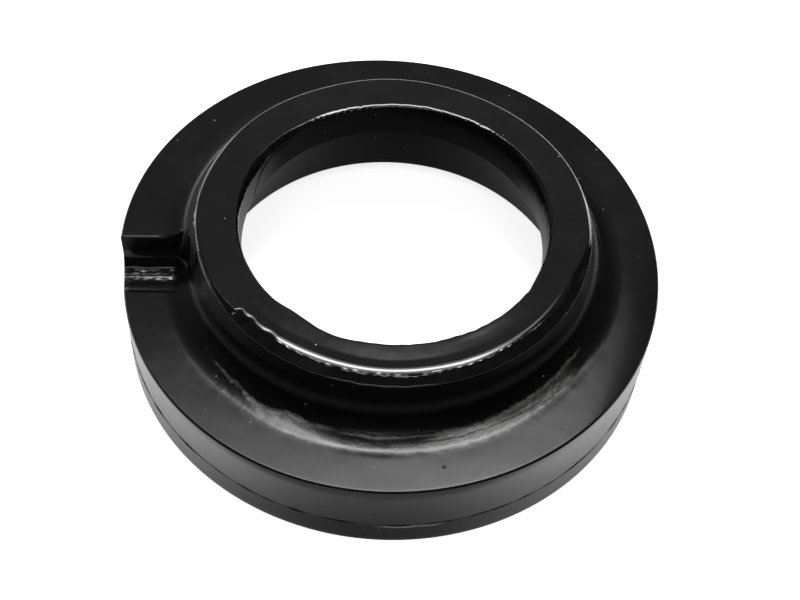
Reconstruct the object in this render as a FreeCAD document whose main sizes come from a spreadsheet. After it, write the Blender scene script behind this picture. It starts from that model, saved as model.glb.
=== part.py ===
import FreeCAD, Part
import math
import os
import Sketcher

# A coil spring spacer, cast in one piece in polyurethane rubber.
# Its foot stands on the spring perch, and the last turn of the coil spring
# rests on the ramp round its collar, with the cut end of the wire at the step.
# The origin is the centre of the foot, +Z points up towards the spring, and
# angles count anticlockwise from +X, seen from above.

# Driving dimensions, in millimetres and degrees
DIMENSIONS = {
    # Outer wall, with the draft of the two mould halves that meet at the seam
    "outer_diameter": 150.0,
    "seam_height": 8.3,
    "seam_flare": 0.15,
    "foot_flare": 0.5,
    "foot_edge_chamfer": 0.8,
    # Spring seat: one turn of ramp that ends at a step
    "seat_low_height": 22.9,
    "seat_rise": 10.1,
    "step_angle": 183.6,
    "seat_edge_chamfer": 0.5,
    # Collar that centres the coil, with a hollow at its root for the wire
    "collar_diameter": 107.6,
    "collar_stand": 10.2,
    "wire_hollow_radius": 11.2,
    # Rim and low round crest at the top, left by the open mouth of the mould
    "rim_overhang": 0.5,
    "rim_edge_drop": 1.3,
    "rim_edge_thickness": 0.5,
    "rim_undercut": 0.6,
    "crest_inset": 4.7,
    "crest_width": 3.6,
    "crest_rise": 0.2,
    # Bore through the collar, with a cone below it that goes over the perch
    "bore_diameter": 83.6,
    "bore_length": 10.3,
    "bore_edge_round": 1.0,
    "cone_foot_diameter": 105.8,
    "mouth_height": 7.3,
    "mouth_angle": 45.0,
    # Pocket at the foot of the step, where the cut end of the wire stops
    "stop_radius": 6.3,
    "stop_depth": 1.7,
    "stop_collar_gap": 1.5,
    "stop_root_angle": 8.6,
    "run_in_angle": 35.0,
    # How far a cutting shape reaches beyond the material that it removes
    "overcut": 3.0,
}

# Sizes that follow from the driving ones
FORMULAS = {
    "outer_radius": "outer_diameter / 2",
    "seam_radius": "outer_radius + seam_flare",
    "foot_radius": "outer_radius + foot_flare",
    "foot_edge_radius": "foot_radius - foot_edge_chamfer",
    "seat_high_height": "seat_low_height + seat_rise",
    "half_rise": "seat_rise / 2",
    "total_height": "seat_high_height + collar_stand",
    "collar_radius": "collar_diameter / 2",
    "hollow_end_radius": "collar_radius + wire_hollow_radius",
    "hollow_top_height": "seat_low_height + wire_hollow_radius",
    "rim_radius": "collar_radius + rim_overhang",
    "rim_top_height": "total_height - rim_edge_drop",
    "rim_under_height": "rim_top_height - rim_edge_thickness",
    "rim_root_height": "rim_under_height - rim_undercut",
    "high_hollow_height": "seat_high_height + wire_hollow_radius",
    "high_hollow_drop": "high_hollow_height - rim_under_height",
    "high_hollow_reach": "sqrt(wire_hollow_radius ^ 2 - high_hollow_drop ^ 2)",
    "high_hollow_radius": "hollow_end_radius - high_hollow_reach",
    "face_height": "total_height - crest_rise",
    "crest_radius": "rim_radius - crest_inset",
    "crest_inner_radius": "crest_radius - crest_width / 2",
    "crest_outer_radius": "crest_radius + crest_width / 2",
    "bore_radius": "bore_diameter / 2",
    "bore_foot_height": "face_height - bore_length",
    "bore_edge_radius": "bore_radius + bore_edge_round",
    "bore_edge_height": "face_height - bore_edge_round",
    "cone_foot_radius": "cone_foot_diameter / 2",
    "mouth_reach": "cone_foot_radius + (mouth_height + overcut) * tan(mouth_angle * 1 deg)",
    "clear_height": "total_height + overcut",
    "clear_radius": "foot_radius + overcut",
    "seat_edge_radius": "outer_radius - seat_edge_chamfer",
    "seat_edge_height": "seat_low_height - (clear_radius - seat_edge_radius)",
    "stop_floor_height": "seat_low_height - stop_depth",
    "stop_centre_height": "stop_floor_height + stop_radius",
    "stop_centre_radius": "collar_radius + stop_collar_gap + stop_radius",
    "stop_length": "clear_radius - stop_centre_radius",
    "stop_wall_drop": "(stop_centre_height - seam_height) / (rim_under_height - seam_height)",
    "stop_wall_radius": "seam_radius - seam_flare * stop_wall_drop",
    "stop_start_x": "stop_centre_radius * cos(step_angle * 1 deg)",
    "stop_start_y": "stop_centre_radius * sin(step_angle * 1 deg)",
    "stop_centre_x": "stop_start_x - stop_radius * sin(step_angle * 1 deg)",
    "stop_centre_y": "stop_start_y + stop_radius * cos(step_angle * 1 deg)",
    "run_in_start": "stop_radius * (1 + sin(run_in_angle * 1 deg))",
    "run_in_height": "stop_centre_height - stop_radius * cos(run_in_angle * 1 deg)",
    "run_in_top": "seat_low_height + overcut",
    "run_in_end": "run_in_start + (run_in_top - run_in_height) / tan(run_in_angle * 1 deg)",
}

doc = FreeCAD.newDocument("coil_spring_spacer")
sheet = doc.addObject("Spreadsheet::Sheet", "Sizes")


def fill_sheet():
    """Put each driving dimension and each formula in a row of its own."""
    rows = [(name, str(value)) for name, value in DIMENSIONS.items()]
    rows += [(name, "=" + formula) for name, formula in FORMULAS.items()]
    for number, (name, content) in enumerate(rows, start=1):
        sheet.set("A%d" % number, name)
        sheet.set("B%d" % number, content)
        sheet.setAlias("B%d" % number, name)
    doc.recompute()


def size(name):
    """The value of a named size, which may have a minus in front, or nought as it is."""
    if name == 0:
        return 0.0
    if name.startswith("-"):
        return -float(sheet.get(name[1:]))
    return float(sheet.get(name))


def cell(name):
    """The expression that ties a constraint or a property to a named size."""
    if name.startswith("-"):
        return "-Sizes." + name[1:]
    return "Sizes." + name


def origin_part(body, role):
    """One of the body's own origin planes or axes."""
    for feature in body.Origin.OriginFeatures:
        if feature.Role == role:
            return feature
    raise ValueError("no origin feature called " + role)


def new_sketch(body, name, plane):
    """An empty sketch on one of the body's origin planes."""
    sketch = body.newObject("Sketcher::SketchObject", name)
    sketch.AttachmentSupport = [(origin_part(body, plane), "")]
    sketch.MapMode = "FlatFace"
    return sketch


def place_point(sketch, geometry, end, point):
    """Tie a line's end or an arc's centre to its named coordinates, x and then y."""
    for axis, name in zip(("DistanceX", "DistanceY"), point):
        if name == 0:
            # A coordinate of nought puts the point on the sketch's other axis
            other_axis = -2 if axis == "DistanceX" else -1
            sketch.addConstraint(Sketcher.Constraint("PointOnObject", geometry, end, other_axis))
            continue
        index = sketch.addConstraint(Sketcher.Constraint(axis, -1, 1, geometry, end, size(name)))
        sketch.setExpression("Constraints[%d]" % index, cell(name))


def arc_between(start, finish, centre, direction):
    """The arc from start to finish round a centre: anticlockwise for 1, clockwise for -1."""
    from_angle = math.atan2(start.y - centre.y, start.x - centre.x)
    to_angle = math.atan2(finish.y - centre.y, finish.x - centre.x)
    circle = Part.Circle(centre, FreeCAD.Vector(0, 0, 1), (start - centre).Length)
    if direction > 0:
        return Part.ArcOfCircle(circle, from_angle, to_angle)
    return Part.ArcOfCircle(circle, to_angle, from_angle)


def draw_outline(sketch, steps):
    """Draw a closed outline whose every point is tied to named sizes.

    Each step is a point, and how the outline goes on from it: None for a
    straight line, or (centre x, centre y, direction) for an arc. Only the
    centre's x is tied, because its y follows from the arc's two ends.
    """
    corners = [FreeCAD.Vector(size(x), size(y), 0) for (x, y), arc in steps]
    first_ends = []
    last_ends = []
    for number, (point, arc) in enumerate(steps):
        start = corners[number]
        finish = corners[(number + 1) % len(steps)]
        if arc is None:
            edge = Part.LineSegment(start, finish)
        else:
            centre = FreeCAD.Vector(size(arc[0]), size(arc[1]), 0)
            edge = arc_between(start, finish, centre, arc[2])
        forwards = arc is None or arc[2] > 0
        first_ends.append(1 if forwards else 2)
        last_ends.append(2 if forwards else 1)
        geometry = sketch.addGeometry(edge, False)
        place_point(sketch, geometry, first_ends[number], point)
        if arc is not None:
            place_point(sketch, geometry, 3, arc[:1])
    for number in range(len(steps)):
        following = (number + 1) % len(steps)
        joint = (number, last_ends[number], following, first_ends[following])
        sketch.addConstraint(Sketcher.Constraint("Coincident", *joint))


def revolve(body, sketch, feature_type, name, axis):
    """Turn a sketch right round an axis, as added or removed material."""
    feature = body.newObject(feature_type, name)
    feature.Profile = sketch
    feature.ReferenceAxis = axis
    feature.Angle = 360.0
    feature.Refine = False
    doc.recompute()
    return feature


def turn_to_ramp(sketch, half):
    """Turn a sketch on the XZ plane to the start of a half turn of the ramp."""
    lift = FreeCAD.Vector(0, size("half_rise") * half, 0)
    turn = FreeCAD.Rotation(FreeCAD.Vector(0, 1, 0), size("step_angle") + 180.0 * half)
    sketch.AttachmentOffset = FreeCAD.Placement(lift, turn)
    sketch.setExpression(".AttachmentOffset.Base.y", "Sizes.half_rise * %d" % half)
    sketch.setExpression(".AttachmentOffset.Rotation.Angle", "Sizes.step_angle + 180 * %d" % half)


def make_blank(body, main_axis):
    """A drafted disc that reaches up to the underside of the rim."""
    sketch = new_sketch(body, "BlankSketch", "XZ_Plane")
    draw_outline(sketch, [
        ((0, 0), None),
        (("foot_edge_radius", 0), None),
        (("foot_radius", "foot_edge_chamfer"), None),
        (("seam_radius", "seam_height"), None),
        (("outer_radius", "rim_under_height"), None),
        ((0, "rim_under_height"), None),
    ])
    revolve(body, sketch, "PartDesign::Revolution", "Blank", main_axis)


def cut_ramp(body, main_axis, name, half):
    """Half a turn of the spring seat, the first from the step and the second above it.

    The cut clears the space over the seat, out from the collar. Its inner
    corner is round, which leaves the hollow for the wire at the collar's root,
    and its outer end slopes down, which chamfers the seat's outer edge.
    """
    sketch = new_sketch(body, name + "Sketch", "XZ_Plane")
    turn_to_ramp(sketch, half)
    draw_outline(sketch, [
        (("collar_radius", "hollow_top_height"), ("hollow_end_radius", "hollow_top_height", 1)),
        (("hollow_end_radius", "seat_low_height"), None),
        (("seat_edge_radius", "seat_low_height"), None),
        (("clear_radius", "seat_edge_height"), None),
        (("clear_radius", "clear_height"), None),
        (("collar_radius", "clear_height"), None),
    ])
    doc.recompute()
    ramp = body.newObject("PartDesign::SubtractiveHelix", name)
    ramp.Profile = sketch
    ramp.ReferenceAxis = main_axis
    ramp.Mode = "height-turns-angle"
    ramp.Turns = 0.5
    ramp.Angle = 0.0
    ramp.Refine = False
    ramp.setExpression("Height", cell("half_rise"))
    doc.recompute()


def add_step_root(body, main_axis):
    """The root of the step, which the stop pocket is cut from.

    It stands as high as the pocket's centre, and carries the high end's hollow
    on past the step, so that the pocket's nose is cut from the collar's side.
    """
    sketch = new_sketch(body, "StepRootSketch", "XZ_Plane")
    turn_to_ramp(sketch, 0)
    draw_outline(sketch, [
        (("crest_outer_radius", "seam_height"), None),
        (("seam_radius", "seam_height"), None),
        (("stop_wall_radius", "stop_centre_height"), None),
        (("hollow_end_radius", "stop_centre_height"), None),
        (("hollow_end_radius", "seat_high_height"), ("hollow_end_radius", "high_hollow_height", -1)),
        (("high_hollow_radius", "rim_under_height"), None),
        (("crest_outer_radius", "rim_under_height"), None),
    ])
    doc.recompute()
    root = revolve(body, sketch, "PartDesign::Revolution", "StepRoot", main_axis)
    root.setExpression("Angle", cell("stop_root_angle"))
    doc.recompute()


def add_rim(body, main_axis):
    """The top of the collar: a thin overhanging rim, and a low crest inside it."""
    sketch = new_sketch(body, "RimSketch", "XZ_Plane")
    draw_outline(sketch, [
        ((0, "rim_root_height"), None),
        (("crest_outer_radius", "rim_root_height"), None),
        (("rim_radius", "rim_under_height"), None),
        (("rim_radius", "rim_top_height"), None),
        (("crest_outer_radius", "face_height"), None),
        (("crest_radius", "total_height"), None),
        (("crest_inner_radius", "face_height"), None),
        ((0, "face_height"), None),
    ])
    revolve(body, sketch, "PartDesign::Revolution", "Rim", main_axis)


def cut_bore(body, main_axis):
    """The bore: round-edged and straight, then a cone, then the wide mouth in the foot."""
    sketch = new_sketch(body, "BoreSketch", "XZ_Plane")
    draw_outline(sketch, [
        ((0, "-overcut"), None),
        (("mouth_reach", "-overcut"), None),
        (("cone_foot_radius", "mouth_height"), None),
        (("bore_radius", "bore_foot_height"), None),
        (("bore_radius", "bore_edge_height"), ("bore_edge_radius", "bore_edge_height", -1)),
        (("bore_edge_radius", "face_height"), None),
        (("bore_edge_radius", "clear_height"), None),
        ((0, "clear_height"), None),
    ])
    revolve(body, sketch, "PartDesign::Groove", "Bore", main_axis)


def stand_on_step(sketch, along_x, along_y):
    """Stand a sketch upright across the step's line, at a named place in plan.

    The sketch's x then points away from the step, down the seat, and its y up.
    """
    place = FreeCAD.Vector(size(along_y), 0, size(along_x))
    turn = FreeCAD.Rotation(FreeCAD.Vector(0, 1, 0), size("step_angle"))
    sketch.AttachmentOffset = FreeCAD.Placement(place, turn)
    sketch.setExpression(".AttachmentOffset.Base.x", cell(along_y))
    sketch.setExpression(".AttachmentOffset.Base.z", cell(along_x))
    sketch.setExpression(".AttachmentOffset.Rotation.Angle", cell("step_angle"))


def cut_stop_pocket(body):
    """The round-nosed slot along the foot of the step.

    Its section is the step's own wall, a round floor for the end of the wire,
    and a run-in that climbs to the seat.
    """
    slot_sketch = new_sketch(body, "StopSlotSketch", "YZ_Plane")
    stand_on_step(slot_sketch, "stop_start_x", "stop_start_y")
    draw_outline(slot_sketch, [
        ((0, "clear_height"), None),
        ((0, "stop_centre_height"), ("stop_radius", "stop_centre_height", 1)),
        (("run_in_start", "run_in_height"), None),
        (("run_in_end", "run_in_top"), None),
        (("run_in_end", "clear_height"), None),
    ])
    doc.recompute()
    slot = body.newObject("PartDesign::Pocket", "StopSlot")
    slot.Profile = slot_sketch
    slot.Type = "Length"
    slot.Reversed = True
    slot.Refine = False
    slot.setExpression("Length", cell("stop_length"))
    doc.recompute()

    nose_sketch = new_sketch(body, "StopNoseSketch", "YZ_Plane")
    stand_on_step(nose_sketch, "stop_centre_x", "stop_centre_y")
    draw_outline(nose_sketch, [
        ((0, "stop_floor_height"), (0, "stop_centre_height", 1)),
        (("stop_radius", "stop_centre_height"), None),
        (("stop_radius", "clear_height"), None),
        ((0, "clear_height"), None),
    ])
    doc.recompute()
    revolve(body, nose_sketch, "PartDesign::Groove", "StopNose", (nose_sketch, ["V_Axis"]))


def make_spacer():
    """The whole spacer, as one body."""
    body = doc.addObject("PartDesign::Body", "spring_spacer")
    body.Label = "spring_spacer"
    body.Placement = FreeCAD.Placement()
    main_axis = (origin_part(body, "Z_Axis"), [""])
    make_blank(body, main_axis)
    cut_ramp(body, main_axis, "LowerRamp", 0)
    cut_ramp(body, main_axis, "UpperRamp", 1)
    add_step_root(body, main_axis)
    add_rim(body, main_axis)
    cut_bore(body, main_axis)
    cut_stop_pocket(body)
    return body


def check_document(bodies):
    """Stop before anything is written if an object or a body's shape has failed."""
    for item in doc.Objects:
        if "Invalid" in item.State or "Error" in item.State:
            raise RuntimeError(item.Name + " failed: " + str(item.State))
    for body in bodies:
        if body.Shape.isNull() or not body.Shape.isValid():
            raise RuntimeError(body.Label + " has no valid shape")
        if len(body.Shape.Solids) != 1:
            raise RuntimeError(body.Label + " is not one solid")


def write_parts(bodies):
    """One file for each body, named after it."""
    os.makedirs("parts", exist_ok=True)
    for body in bodies:
        body.Shape.exportStep("parts/%s.step" % body.Label)
        box = body.Shape.optimalBoundingBox()
        extent = (box.XLength, box.YLength, box.ZLength)
        print("%s: %.0f mm3, %d faces" % (body.Label, body.Shape.Volume, len(body.Shape.Faces)))
        print("extent %.2f x %.2f x %.2f mm, foot at z = %.3f" % (extent + (box.ZMin,)))


fill_sheet()
spacer = make_spacer()
doc.recompute()
check_document([spacer])
write_parts([spacer])
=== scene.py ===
# %% [markdown]
# # A coil spring spacer in black cast polyurethane
#
# The real part is one ring of black rubber, poured into an open mould. The solid
# fixes the size and the place of everything. This lesson dresses it as the
# casting that it is: a glossy free surface where the mould was poured full, a
# satin skin where the rubber lay against the mould, and the lines, ripples and
# pits that casting leaves. It could be sculpted by hand, but a ring is easier to
# work out: every surface here is a sheet of points given by two numbers, the
# angle round the bore and the place along the section.

import math

import bmesh
import bpy
import numpy as np
from mathutils import Matrix, Vector


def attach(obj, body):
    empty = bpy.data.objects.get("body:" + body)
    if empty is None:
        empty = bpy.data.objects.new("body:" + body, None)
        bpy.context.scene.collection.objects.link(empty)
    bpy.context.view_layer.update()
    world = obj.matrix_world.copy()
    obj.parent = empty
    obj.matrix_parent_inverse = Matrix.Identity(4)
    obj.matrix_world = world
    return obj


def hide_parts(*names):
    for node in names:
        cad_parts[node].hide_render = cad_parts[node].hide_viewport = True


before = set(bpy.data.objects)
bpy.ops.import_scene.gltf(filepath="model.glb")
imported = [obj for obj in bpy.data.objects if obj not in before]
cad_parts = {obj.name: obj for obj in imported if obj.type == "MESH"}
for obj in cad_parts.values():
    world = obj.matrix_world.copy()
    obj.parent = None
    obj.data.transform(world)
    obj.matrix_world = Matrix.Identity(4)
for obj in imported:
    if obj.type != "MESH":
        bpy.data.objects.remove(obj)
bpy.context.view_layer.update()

# %% [markdown]
# ## Sizes
#
# All lengths in the geometry cells are in millimetres and all angles in
# degrees, because the real part is measured so. The sheets are scaled to metres
# when they become meshes.

# %% Sizes of the ring and its seat
MILLIMETRE = 0.001

STEP_ANGLE = 183.6
SEAT_LOW = 22.9
SEAT_RISE = 10.1
SEAT_TOP = SEAT_LOW + SEAT_RISE
HOLLOW_RADIUS = 11.2
COLLAR_RADIUS = 53.8
HOLLOW_END = COLLAR_RADIUS + HOLLOW_RADIUS
COLLAR_TOP = 41.3
EDGE_ROUND = 0.45
EDGE_CHAMFER = 0.35
OUTER_RADIUS = 75.02
SEAM_RADIUS = 75.13
SEAM_HEIGHT = 8.3
SKIRT_TOP = 9.6
FOOT_RADIUS = 75.45
FOOT_ROUND = 0.75
print("ring", 2 * FOOT_RADIUS, "mm across, seat from", SEAT_LOW, "to", SEAT_TOP, "mm")

# %% Sizes of the poured top, the bore and the stop pocket
FACE_HEIGHT = 42.98
FACE_WIDTH = 11.2
CREST_RADIUS = 49.6
CREST_WIDTH = 2.4
CREST_TOP = 43.14
CREST_MOVE = 3.3
FILL_RADIUS = 51.5
RIM_RADIUS = 54.2
RIM_TOP = 41.75
BORE_RADIUS = 41.8
BORE_FOOT = 32.7
CONE_FOOT_RADIUS = 52.9
MOUTH_HEIGHT = 7.3
MOUTH_RADIUS = 60.2

STOP_RADIUS = 6.3
STOP_FLOOR = 21.2
STOP_REACH = 61.6
STOP_ROOT_ANGLE = 8.6
RUN_IN_ANGLE = 35.0
print("bore", 2 * BORE_RADIUS, "mm across, poured face at", FACE_HEIGHT, "mm")

# %% [markdown]
# ## Waves and humps
#
# Casting leaves lines that are uneven but never random from one point to the
# next. A noise texture could push the mesh about, but then a line could not be
# told where to run. So a ripple here is a sum of cosine waves round the bore,
# `sum(cos(k * turn + phase_k) / sqrt(count))`, with every phase drawn once from a
# seeded generator. It closes on itself after a full turn, so a line that it
# bends has no seam.

# %% Waves and humps round the bore
def ripple(turn, slowest, fastest, seed):
    """Uneven wave round the bore, about -1 to 1: the mean square is one half."""
    phases = np.random.RandomState(seed).uniform(0, 2 * np.pi, fastest - slowest + 1)
    counts = np.arange(slowest, fastest + 1)
    waves = np.cos(np.radians(turn)[..., None] * counts + phases)
    return waves.sum(-1) / math.sqrt(len(counts))


def ease(x):
    """0 below 0, 1 above 1, and 3x^2 - 2x^3 between."""
    x = np.clip(x, 0.0, 1.0)
    return x * x * (3.0 - 2.0 * x)


def hump(x):
    """A round hump, 1 at x = 0 and 0 from |x| = 1 outwards: (1 - x^2)^2."""
    return np.clip(1.0 - x * x, 0.0, None) ** 2


def within(turn, start, finish, fade):
    """1 for angles between start and finish, and 0 past the fades at both ends."""
    return ease((turn - start) / fade) * ease((finish - turn) / fade)


def about(turn, centre, reach):
    """A hump round the bore at one angle, 0 from reach degrees away on both sides."""
    return hump(((turn - centre + 180.0) % 360.0 - 180.0) / reach)


def humps(turn, each):
    """The sum of humps round the bore, each given as (height, centre, reach)."""
    return sum(height * about(turn, centre, reach) for height, centre, reach in each)


print("ripple at 0 and 360 degrees:", ripple(np.array([0.0, 360.0]), 3, 9, 1))

# %% [markdown]
# ## Crumpling, rows and points
#
# A creased liner and clotted powder are uneven in both directions, which a wave
# round the bore is not. A noise lattice would do, but waves at random headings
# need no table and can be worked out for a whole sheet at once. Rows of points
# are set by runs, close together where a section bends and wide where it is
# straight.

# %% Crumpled surfaces, rows and points
def crumple(x, y, coarse, fine, seed):
    """Unevenness in two directions, about -1 to 1: a sum of plane waves at random headings."""
    draw = np.random.RandomState(seed)
    waves = 14
    total = 0.0 * x
    for _ in range(waves):
        heading, phase = draw.uniform(0, 2 * np.pi, 2)
        length = math.exp(draw.uniform(math.log(fine), math.log(coarse)))
        along = x * math.cos(heading) + y * math.sin(heading)
        total = total + np.cos(2 * np.pi * along / length + phase)
    return total / math.sqrt(waves)


def runs(*stretches):
    """Several even runs joined end to end, each given as (first, last, steps)."""
    parts = [np.linspace(first, last, steps, endpoint=False) for first, last, steps in stretches]
    return np.concatenate(parts + [[stretches[-1][1]]])


def sheet_points(turn, radius, height):
    """Points of a sheet, (radius cos(turn), radius sin(turn), height) at each node."""
    angle, radius, height = np.broadcast_arrays(np.radians(turn), radius, height)
    return np.stack([radius * np.cos(angle), radius * np.sin(angle), height], -1)


print("rows of two runs:", runs((0.0, 1.0, 2), (1.0, 4.0, 3)))

# %% [markdown]
# ## From sheets to a mesh
#
# A sheet has one column of points for each angle and one row for each place
# along the section. The section runs up the bore, outwards over the top and
# down the outside, so that taking each cell's corners row first makes all
# normals point out of the rubber. Sheets of one piece are welded where they
# meet. Each point also keeps two values for the material: its gloss and its
# share of grey, which is mould powder and, out in the trough, partly painted
# highlight. Both follow the surface better than a texture would.

# %% Mesh builder
def cells(columns, rows, first, closed):
    """The four corner numbers of each cell of a sheet of columns by rows points."""
    across = columns if closed else columns - 1
    c, r = np.meshgrid(np.arange(across), np.arange(rows - 1), indexing="ij")
    c, r = c.ravel(), r.ravel()
    n = (c + 1) % columns
    corners = [c * rows + r, c * rows + r + 1, n * rows + r + 1, n * rows + r]
    return np.stack(corners, -1) + first


def make_piece(name, sheets, closed):
    """A smooth mesh object from sheets of (columns, rows, 3) points in millimetres.

    Each sheet comes with its gloss and its share of grey. Gloss is 1 where
    poured, 0 for satin, and less where the mould left it duller, down to -1.5.
    The grey share is from 0 to 1 where mould powder clings, and out in the
    trough it is partly painted highlight.
    """
    points, faces, marks, first = [], [], [], 0
    for sheet, gloss, chalk_and_sheen in sheets:
        columns, rows = sheet.shape[:2]
        points.append(sheet.reshape(-1, 3))
        faces.append(cells(columns, rows, first, closed))
        marks.append([np.broadcast_to(mark, (columns, rows)).reshape(-1) for mark in (gloss, chalk_and_sheen)])
        first += columns * rows
    points = np.concatenate(points) * MILLIMETRE
    faces = np.concatenate(faces)
    mesh = bpy.data.meshes.new(name)
    mesh.from_pydata(points.tolist(), [], faces.tolist())
    # The second value is the share of grey: mould powder, and in the trough partly painted highlight.
    for title, values in zip(("gloss", "chalk_and_sheen"), np.concatenate(marks, 1)):
        attribute = mesh.attributes.new(title, "FLOAT", "POINT")
        attribute.data.foreach_set("value", values.astype(np.float32))
    welded = bmesh.new()
    welded.from_mesh(mesh)
    bmesh.ops.remove_doubles(welded, verts=welded.verts, dist=1e-7)
    welded.to_mesh(mesh)
    welded.free()
    mesh.polygons.foreach_set("use_smooth", [True] * len(mesh.polygons))
    piece = bpy.data.objects.new(name, mesh)
    bpy.context.scene.collection.objects.link(piece)
    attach(piece, "root")
    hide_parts("spring_spacer")
    print(name, len(mesh.vertices), "points,", 2 * len(mesh.polygons), "triangles")
    return piece


print("cells of a closed sheet of 3 by 2 points:", len(cells(3, 2, 0, True)))

# %% [markdown]
# ## The poured top
#
# The mould is filled through its open top, so the ring's upper face is the free
# surface of the liquid. In front it is level, rises to a low round crest near
# the outside, breaks at a ragged fill line, and slopes to a thin rim. Behind,
# the liquid filled the mould to the rim, so the level part goes on to a narrow
# round there. Each of these lines is a radius that depends on the angle.

# %% Lines on the poured top
def front_share(turn):
    """1 in front, where the liquid stopped short of the rim, and 0 behind."""
    turn = turn % 360.0
    return within(turn, 193.0, 369.0, 45.0) + within(turn + 360.0, 193.0, 369.0, 45.0)


def fill_line(turn):
    """Radius of the ragged fill line: near the rim behind, and well inside it in front."""
    front = front_share(turn)
    behind = RIM_RADIUS - 0.4
    ragged = 0.13 * ripple(turn, 4, 30, 12) + 0.09 * ripple(turn, 40, 170, 13)
    return behind - (behind - FILL_RADIUS) * front + front * ragged


def rim_line(turn):
    """Radius of the rim: jagged flash beside the step, drawn in just past its root."""
    turn = turn % 360.0
    line = RIM_RADIUS + 0.05 * ripple(turn, 10, 90, 24)
    flash = within(turn, 164.0, 196.0, 2.0) + 0.7 * about(turn, 0.0, 12.0)
    line = line + flash * (0.10 + 0.10 * ripple(turn, 60, 260, 26))
    line = line + humps(turn, ((0.5, 190.3, 0.9), (-0.3, 178.8, 4.0)))
    return line - 0.75 * ease((turn - 196.2) / 0.5) * ease((236.0 - turn) / 34.0)


def collar_top_radius(turn):
    """Radius of the collar's top, which the high end of the hollow just cuts into."""
    climbed = (turn - STEP_ANGLE) % 360.0
    climbed = np.where(climbed < STOP_ROOT_ANGLE, 360.0, climbed)
    above = np.clip(SEAT_LOW + SEAT_RISE * climbed / 360.0 + HOLLOW_RADIUS - COLLAR_TOP, 0.0, None)
    return HOLLOW_END - np.sqrt(HOLLOW_RADIUS**2 - above**2)


quarters = np.array([0.0, 90.0, 180.0, 270.0])
print("fill line at 0, 90, 180 and 270 degrees:", np.round(fill_line(quarters), 2))

# %% [markdown]
# ## The crest
#
# In front the liquid stood a little higher near its outside, where its skin
# pulled tight. This crest carries the long highlight, so its line and its
# roundness matter more than its height, which is hardly a sixth of a millimetre.
# A loop of edges could be raised by hand. As a line and a bend that follow the
# angle, it moves out to the rim by itself where the mould was full.

# %% Crest of the poured face
def crest_share(turn):
    """1 in front, where the crest stands inside the rim, and 0 where the face runs level to it."""
    turn = turn % 360.0
    return ease((turn - 220.0) / 2.5) * ease((358.0 - turn) / 22.0)


def folds(turn):
    """1 on the stretch at the crest's left end where the skin of the liquid is folded."""
    return within(turn % 360.0, 219.0, 239.0, 5.0)


def crest_line(turn):
    """Radius of the crest: wavy in front, and CREST_MOVE further out behind."""
    wavy = 0.25 * ripple(turn, 2, 9, 11) + 0.28 * folds(turn) * ripple(turn, 45, 110, 17)
    return CREST_RADIUS + wavy + CREST_MOVE * (1.0 - crest_share(turn))


def crest_fall(radius, turn):
    """Fall outside the crest, bend * distance^2: a broad round in front, a narrow one behind."""
    bend = 0.09 + 0.04 * folds(turn) + 0.71 * (1.0 - crest_share(turn))
    return bend * np.clip(radius - crest_line(turn), 0.0, None) ** 2


print("crest at 0, 90, 180 and 270 degrees:", np.round(crest_line(quarters), 2))

# %% [markdown]
# ## Height of the face
#
# The flow left beads on the fill line, flash on the rim and one groove on the
# right. They could be bumps in the material, but a glossy face shows them in
# its outline and its highlights, so they are in the mesh. Each one is a hump
# across its own line, times how strong it is at that angle.

# %% Height of the poured face
def marks_of_flow(radius, turn):
    """Beads on the fill line, a slow swell, flash on the rim, and the groove where the flow ended."""
    fill = fill_line(turn)
    beads = 0.035 * np.clip(0.5 + 0.9 * ripple(turn, 30, 150, 16), 0.0, 1.4)
    beads = beads * hump((radius - fill + 0.1) / 0.3) * ease((RIM_RADIUS - fill - 0.6) / 0.8)
    swell = 0.012 * ripple(turn, 2, 7, 15) * ease((radius - 43.0) / 2.0) * ease((48.0 - radius) / 2.0)
    flash = 0.4 * within(turn % 360.0, 160.0, 197.0, 3.0) + 0.7 * about(turn, 14.0, 30.0)
    flash = 0.14 * flash * np.clip(0.7 + 0.5 * ripple(turn, 50, 240, 18), 0.0, 1.5)
    flash = flash * hump((radius - rim_line(turn) + 0.3) / 0.3)
    groove = 51.2 + 0.05 * (turn % 360.0 - 324.0)
    groove = 0.05 * within(turn % 360.0, 312.0, 338.0, 6.0) * hump((radius - groove) / 0.35)
    return beads + swell + flash - groove


def face_height(radius, turn):
    """Height of the poured face.

    Level, plus a crest that rises by (CREST_TOP - FACE_HEIGHT) * ease() from
    inside and falls by crest_fall() outside; then from the fill line a small
    drop and a straight slope to the rim; plus the marks of the flow.
    """
    rise = (CREST_TOP - FACE_HEIGHT) * crest_share(turn)
    crest = rise * ease((radius - crest_line(turn) + CREST_WIDTH) / CREST_WIDTH)
    height = FACE_HEIGHT + crest - crest_fall(radius, turn)
    fill = fill_line(turn)
    at_fill = FACE_HEIGHT + rise - crest_fall(fill, turn)
    past = np.clip(radius - fill, 0.0, None)
    fall = 0.97 * (at_fill - RIM_TOP) / (RIM_RADIUS - fill)
    slope = at_fill - 0.04 * ease(past / 0.15) - fall * past
    return np.where(radius > fill, slope, height) + marks_of_flow(radius, turn)


print("face at radius 45 and 54:", face_height(np.array([45.0, 54.0]), np.array([270.0, 270.0])))

# %% [markdown]
# ## The bore's edge
#
# Round the bore the shrinking liquid drew back from the mould's core. Behind,
# that left a glossy round edge, which shows the lamp as a white arc. On both
# sides it tore into a steep ragged slope that looks black, deepest on the left.
# A bevel would give the edge one width all round. Here its inner radius, its
# width and its depth each follow the angle.

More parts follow.
